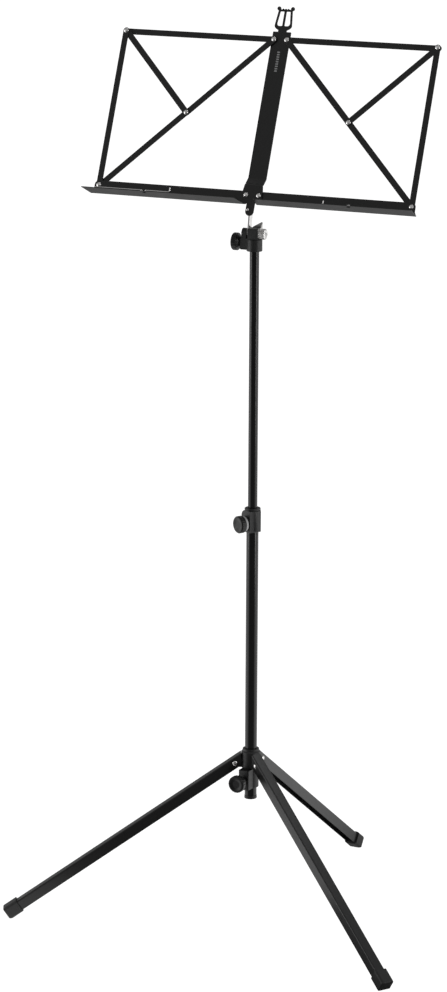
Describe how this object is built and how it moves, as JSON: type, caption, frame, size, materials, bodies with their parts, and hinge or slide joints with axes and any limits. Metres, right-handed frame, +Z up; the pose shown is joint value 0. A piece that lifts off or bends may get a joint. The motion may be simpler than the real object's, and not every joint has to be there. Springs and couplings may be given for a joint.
{
  "type": "folding music stand",
  "caption": "Folding music stand with a tripod base, two-section telescoping column and a tilting open-frame desk with a page ledge and wire page retainers.",
  "frame": {"origin": "on the floor, on the axis of the column", "axes": "+X along the width of the desk to the reader's right, +Y away from the reader, +Z up along the column"},
  "size_m": [0.654, 0.5997, 1.3659],
  "materials": {
    "powder_coat_frame": "satin black powder coat on flat bars, trays and spine",
    "powder_coat_legs": "satin black powder coat on the folded leg channels",
    "painted_tube": "smooth semi-gloss black tube",
    "moulded_black": "black moulded nylon with a fine moulding texture",
    "knob_black": "smooth black knob",
    "rubber_black": "dark rubber-like foot cap",
    "bright_plate": "bright nickel plated rivets, wires and brackets",
    "zinc_steel": "zinc plated screws and nuts"
  },
  "bodies": {
    "hub": {"hub_casting": "moulded_black", "hub_nut": "zinc_steel", "leg_rivets": "bright_plate"},
    "hub_knob": {"hub_knob": "knob_black", "hub_screw": "zinc_steel"},
    "column": {"lower_tube": "painted_tube", "lower_tube_cap": "moulded_black", "clamp_yoke": "moulded_black", "clamp_collar": "moulded_black"},
    "clamp_knob": {"clamp_knob": "knob_black", "clamp_screw": "zinc_steel"},
    "mast": {"upper_tube": "painted_tube", "upper_tube_guide": "moulded_black"},
    "head": {"head_body": "moulded_black", "head_bracket": "bright_plate", "tilt_bolt": "bright_plate", "tilt_nut": "bright_plate", "head_nut": "zinc_steel"},
    "head_knob": {"head_knob": "knob_black", "head_screw": "zinc_steel"},
    "desk": {"desk_spine": "powder_coat_frame", "tilt_tongue": "bright_plate", "tab_rivet": "bright_plate", "spine_foot_rivets": "bright_plate", "spine_top_rivets": "bright_plate"},
    "leg_rear": {"leg_channel_rear": "powder_coat_legs", "foot_cap_rear": "rubber_black"},
    "leg_left": {"leg_channel_left": "powder_coat_legs", "foot_cap_left": "rubber_black"},
    "leg_right": {"leg_channel_right": "powder_coat_legs", "foot_cap_right": "rubber_black"},
    "tray_left": {"tray_left": "powder_coat_frame", "tray_rivet_left": "bright_plate", "retainer_stud_left": "bright_plate"},
    "top_bar_left": {"top_bar_left": "powder_coat_frame"},
    "side_bar_left": {"side_bar_left": "powder_coat_frame", "side_bar_rivet_left": "bright_plate"},
    "upper_diagonal_left": {"upper_diagonal_left": "powder_coat_frame", "knee_pin_left": "bright_plate"},
    "lower_diagonal_left": {"lower_diagonal_left": "powder_coat_frame"},
    "brace_left": {"brace_left": "powder_coat_frame", "brace_stud_left": "bright_plate"},
    "retainer_left": {"retainer_wire_left": "bright_plate"},
    "tray_right": {"tray_right": "powder_coat_frame", "tray_rivet_right": "bright_plate", "retainer_stud_right": "bright_plate"},
    "top_bar_right": {"top_bar_right": "powder_coat_frame"},
    "side_bar_right": {"side_bar_right": "powder_coat_frame", "side_bar_rivet_right": "bright_plate"},
    "upper_diagonal_right": {"upper_diagonal_right": "powder_coat_frame", "knee_pin_right": "bright_plate"},
    "lower_diagonal_right": {"lower_diagonal_right": "powder_coat_frame"},
    "brace_right": {"brace_right": "powder_coat_frame", "brace_stud_right": "bright_plate"},
    "retainer_right": {"retainer_wire_right": "bright_plate"}
  },
  "joints": [
    {"name": "leg_fold_rear", "type": "hinge", "parent": "hub", "child": "leg_rear", "pos_m": [0.00238, 0.02388, 0.24444], "axis": [-0.9951, 0.0993, 0], "range_deg": [0, 55.4]},
    {"name": "leg_fold_left", "type": "hinge", "parent": "hub", "child": "leg_left", "pos_m": [-0.02187, -0.00988, 0.24444], "axis": [0.4115, -0.9114, 0], "range_deg": [0, 55.4]},
    {"name": "leg_fold_right", "type": "hinge", "parent": "hub", "child": "leg_right", "pos_m": [0.01949, -0.01401, 0.24444], "axis": [0.5835, 0.8121, 0], "range_deg": [0, 55.4]},
    {"name": "hub_knob_turn", "type": "hinge", "parent": "hub", "child": "hub_knob", "pos_m": [0, 0, 0.22144], "axis": [-0.0993, -0.9951, 0], "range_deg": [0, 360]},
    {"name": "column_slide", "type": "slide", "parent": "hub", "child": "column", "axis": [0, 0, 1], "range_m": [-0.33, 0.0137]},
    {"name": "clamp_knob_turn", "type": "hinge", "parent": "column", "child": "clamp_knob", "pos_m": [0, 0, 0.61644], "axis": [-0.5476, -0.8368, 0], "range_deg": [0, 360]},
    {"name": "mast_slide", "type": "slide", "parent": "column", "child": "mast", "axis": [0, 0, 1], "range_m": [-0.38, 0.0057]},
    {"name": "head_turn", "type": "hinge", "parent": "mast", "child": "head", "pos_m": [0, 0, 1.04244], "axis": [0, 0, 1], "continuous": true},
    {"name": "head_knob_turn", "type": "hinge", "parent": "head", "child": "head_knob", "pos_m": [0, 0, 1.03744], "axis": [-1, 0, 0], "range_deg": [0, 360]},
    {"name": "desk_tilt", "type": "hinge", "parent": "head", "child": "desk", "pos_m": [-0.0093, 0, 1.05094], "axis": [-1, 0, 0], "range_deg": [-24, 65]},
    {"name": "tray_fold_right", "type": "hinge", "parent": "desk", "child": "tray_right", "pos_m": [0.0007, 0.02258, 1.1001], "axis": [0, -0.9087, 0.4174], "range_deg": [0, 84]},
    {"name": "top_bar_fold_right", "type": "hinge", "parent": "desk", "child": "top_bar_right", "pos_m": [0.0007, 0.12275, 1.31819], "axis": [0, -0.9087, 0.4174], "range_deg": [0, 84.01]},
    {"name": "side_bar_fold_right", "type": "hinge", "parent": "tray_right", "child": "side_bar_right", "pos_m": [0.2367, 0.02258, 1.1001], "axis": [0, -0.9087, 0.4174], "range_deg": [-84.01, 0]},
    {"name": "upper_diagonal_fold_right", "type": "hinge", "parent": "desk", "child": "upper_diagonal_right", "pos_m": [0.0007, 0.12275, 1.31819], "axis": [0, -0.9087, 0.4174], "range_deg": [0, 119.08]},
    {"name": "lower_diagonal_fold_right", "type": "hinge", "parent": "side_bar_right", "child": "lower_diagonal_right", "pos_m": [0.2367, 0.02258, 1.1001], "axis": [0, -0.9087, 0.4174], "range_deg": [-52.34, 0]},
    {"name": "brace_fold_right", "type": "hinge", "parent": "side_bar_right", "child": "brace_right", "pos_m": [0.2367, 0.12275, 1.31819], "axis": [0, -0.9087, 0.4174], "range_deg": [0, 41.17]},
    {"name": "retainer_swing_right", "type": "hinge", "parent": "tray_right", "child": "retainer_right", "pos_m": [0.1507, -0.01452, 1.10174], "axis": [0, -0.4174, -0.9087], "range_deg": [0, 20]},
    {"name": "tray_fold_left", "type": "hinge", "parent": "desk", "child": "tray_left", "pos_m": [-0.0193, 0.02258, 1.1001], "axis": [0, 0.9087, -0.4174], "range_deg": [0, 84]},
    {"name": "top_bar_fold_left", "type": "hinge", "parent": "desk", "child": "top_bar_left", "pos_m": [-0.0193, 0.12275, 1.31819], "axis": [0, 0.9087, -0.4174], "range_deg": [0, 84.01]},
    {"name": "side_bar_fold_left", "type": "hinge", "parent": "tray_left", "child": "side_bar_left", "pos_m": [-0.2553, 0.02258, 1.1001], "axis": [0, 0.9087, -0.4174], "range_deg": [-84.01, 0]},
    {"name": "upper_diagonal_fold_left", "type": "hinge", "parent": "desk", "child": "upper_diagonal_left", "pos_m": [-0.0193, 0.12275, 1.31819], "axis": [0, 0.9087, -0.4174], "range_deg": [0, 119.08]},
    {"name": "lower_diagonal_fold_left", "type": "hinge", "parent": "side_bar_left", "child": "lower_diagonal_left", "pos_m": [-0.2553, 0.02258, 1.1001], "axis": [0, 0.9087, -0.4174], "range_deg": [-52.34, 0]},
    {"name": "brace_fold_left", "type": "hinge", "parent": "side_bar_left", "child": "brace_left", "pos_m": [-0.2553, 0.12275, 1.31819], "axis": [0, 0.9087, -0.4174], "range_deg": [0, 41.17]},
    {"name": "retainer_swing_left", "type": "hinge", "parent": "tray_left", "child": "retainer_left", "pos_m": [-0.1693, -0.01452, 1.10174], "axis": [0, 0.4174, 0.9087], "range_deg": [0, 35]}
  ],
  "couplings": [
    {"joint": "top_bar_fold_right", "follows": "tray_fold_right", "ratio": 1},
    {"joint": "side_bar_fold_right", "follows": "tray_fold_right", "ratio": -1},
    {"joint": "upper_diagonal_fold_right", "follows": "tray_fold_right", "ratio": 1.4175},
    {"joint": "lower_diagonal_fold_right", "follows": "tray_fold_right", "ratio": -0.62297},
    {"joint": "brace_fold_right", "follows": "tray_fold_right", "ratio": 0.49},
    {"joint": "top_bar_fold_left", "follows": "tray_fold_left", "ratio": 1},
    {"joint": "side_bar_fold_left", "follows": "tray_fold_left", "ratio": -1},
    {"joint": "upper_diagonal_fold_left", "follows": "tray_fold_left", "ratio": 1.4175},
    {"joint": "lower_diagonal_fold_left", "follows": "tray_fold_left", "ratio": -0.62297},
    {"joint": "brace_fold_left", "follows": "tray_fold_left", "ratio": 0.49}
  ]
}
